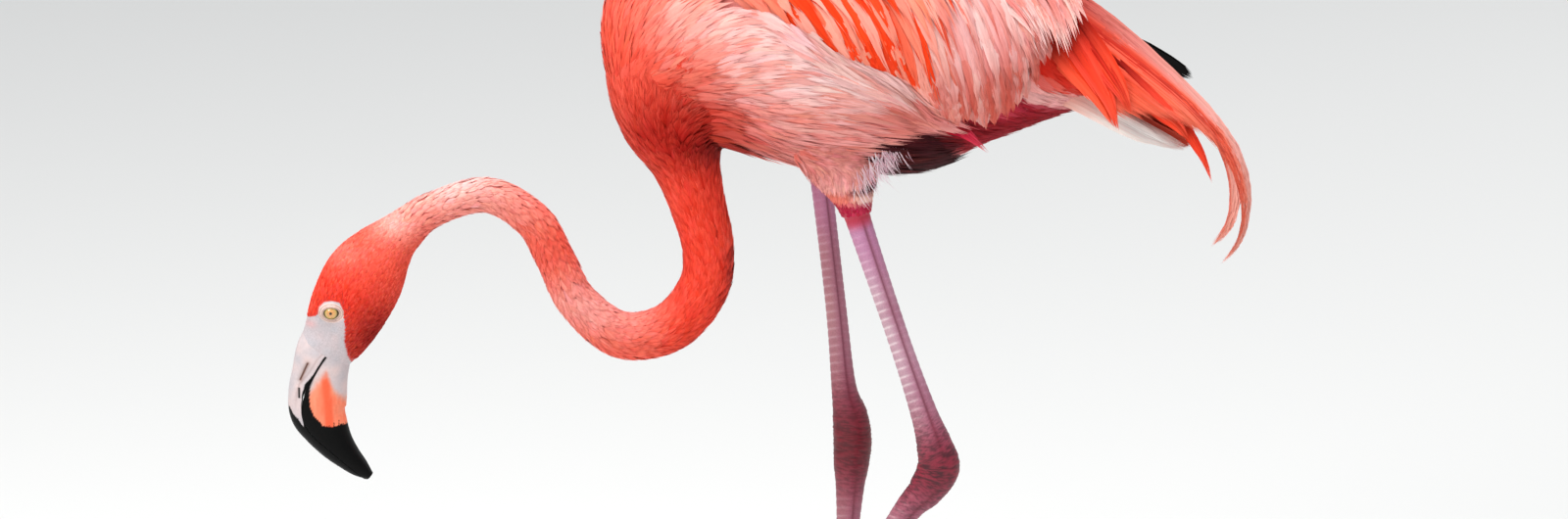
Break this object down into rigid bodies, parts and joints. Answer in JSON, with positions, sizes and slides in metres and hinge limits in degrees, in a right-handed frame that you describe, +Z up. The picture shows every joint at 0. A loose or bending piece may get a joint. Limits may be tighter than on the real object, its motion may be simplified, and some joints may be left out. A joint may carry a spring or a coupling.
{
  "type": "american flamingo",
  "caption": "Life-size wading bird with a long neck arched down, bill lowered, folded wings, drooping wing feathers and two long legs with webbed feet.",
  "frame": {"origin": "on the floor, under the middle of the bird's box", "axes": "+X towards the tail, so the bird faces -X; +Y to its right side; +Z up"},
  "size_m": [0.7336, 0.1896, 0.7504],
  "materials": {
    "plumage": "soft coral-red to pale pink feathers",
    "wing_feathers": "coral and vermilion vanes with pale edges",
    "flight_feathers": "black vanes, satin",
    "leg_skin": "scaled pinkish-mauve skin",
    "ankle_skin": "wrinkled dark crimson skin",
    "claw": "dull horn",
    "bill_horn": "satin horn, white and salmon with a black tip",
    "eye": "wet, pale amber iris"
  },
  "bodies": {
    "root": {"head": "plumage", "neck_1": "plumage", "neck_2": "plumage", "neck_3": "plumage", "neck_4": "plumage", "neck_5": "plumage", "neck_6": "plumage", "trunk": "plumage", "tail": "plumage", "wing_left": "wing_feathers", "wing_right": "wing_feathers", "train_left": "wing_feathers", "train_right": "wing_feathers", "primaries_left": "flight_feathers", "primaries_right": "flight_feathers", "thigh_left": "plumage", "thigh_right": "plumage", "shank_left": "leg_skin", "shank_right": "leg_skin", "ankle_left": "ankle_skin", "ankle_right": "ankle_skin", "tarsus_left": "leg_skin", "tarsus_right": "leg_skin", "foot_left": "leg_skin", "foot_right": "leg_skin", "claw_left_inner": "claw", "claw_left_middle": "claw", "claw_left_outer": "claw", "claw_right_inner": "claw", "claw_right_middle": "claw", "claw_right_outer": "claw", "bill_upper": "bill_horn", "bill_lower": "bill_horn", "eye_left": "eye", "eye_right": "eye"}
  },
  "joints": []
}
